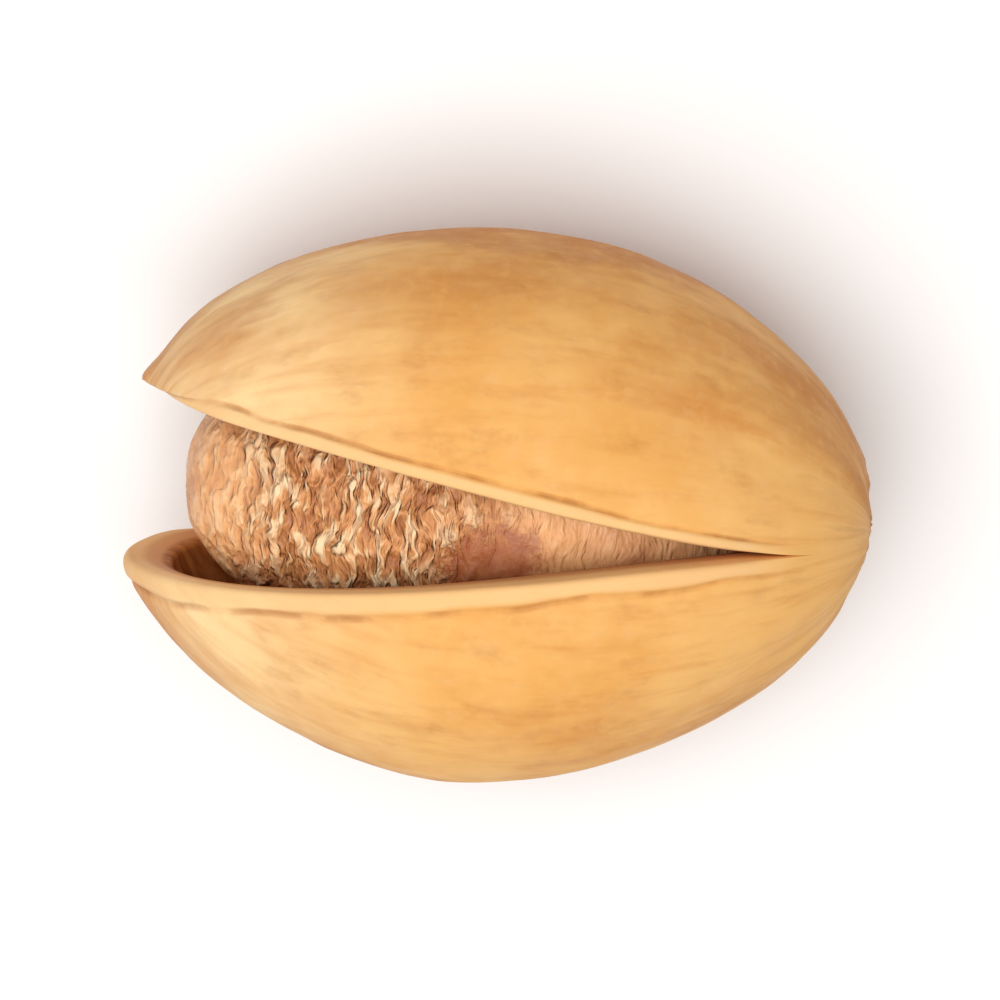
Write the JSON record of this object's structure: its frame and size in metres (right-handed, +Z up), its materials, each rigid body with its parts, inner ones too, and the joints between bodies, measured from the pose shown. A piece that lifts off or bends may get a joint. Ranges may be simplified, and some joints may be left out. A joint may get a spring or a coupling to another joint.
{
  "type": "pistachio in shell",
  "caption": "Roasted pistachio lying in its gaping tan shell, the loose brown kernel showing through the split.",
  "frame": {"origin": "on the ground under the middle of the nut's box", "axes": "+X along the nut to its stem end, with the open tip at -X; +Y across the two valves of the shell; +Z up, through the split"},
  "size_m": [0.0204, 0.0154, 0.0133],
  "materials": {
    "shell_wood": "smooth dry nutshell, satin, with fine fibres along its length",
    "kernel_skin": "thin wrinkled papery seed skin, slightly waxy"
  },
  "bodies": {
    "root": {"shell": "shell_wood", "kernel": "kernel_skin"}
  },
  "joints": []
}
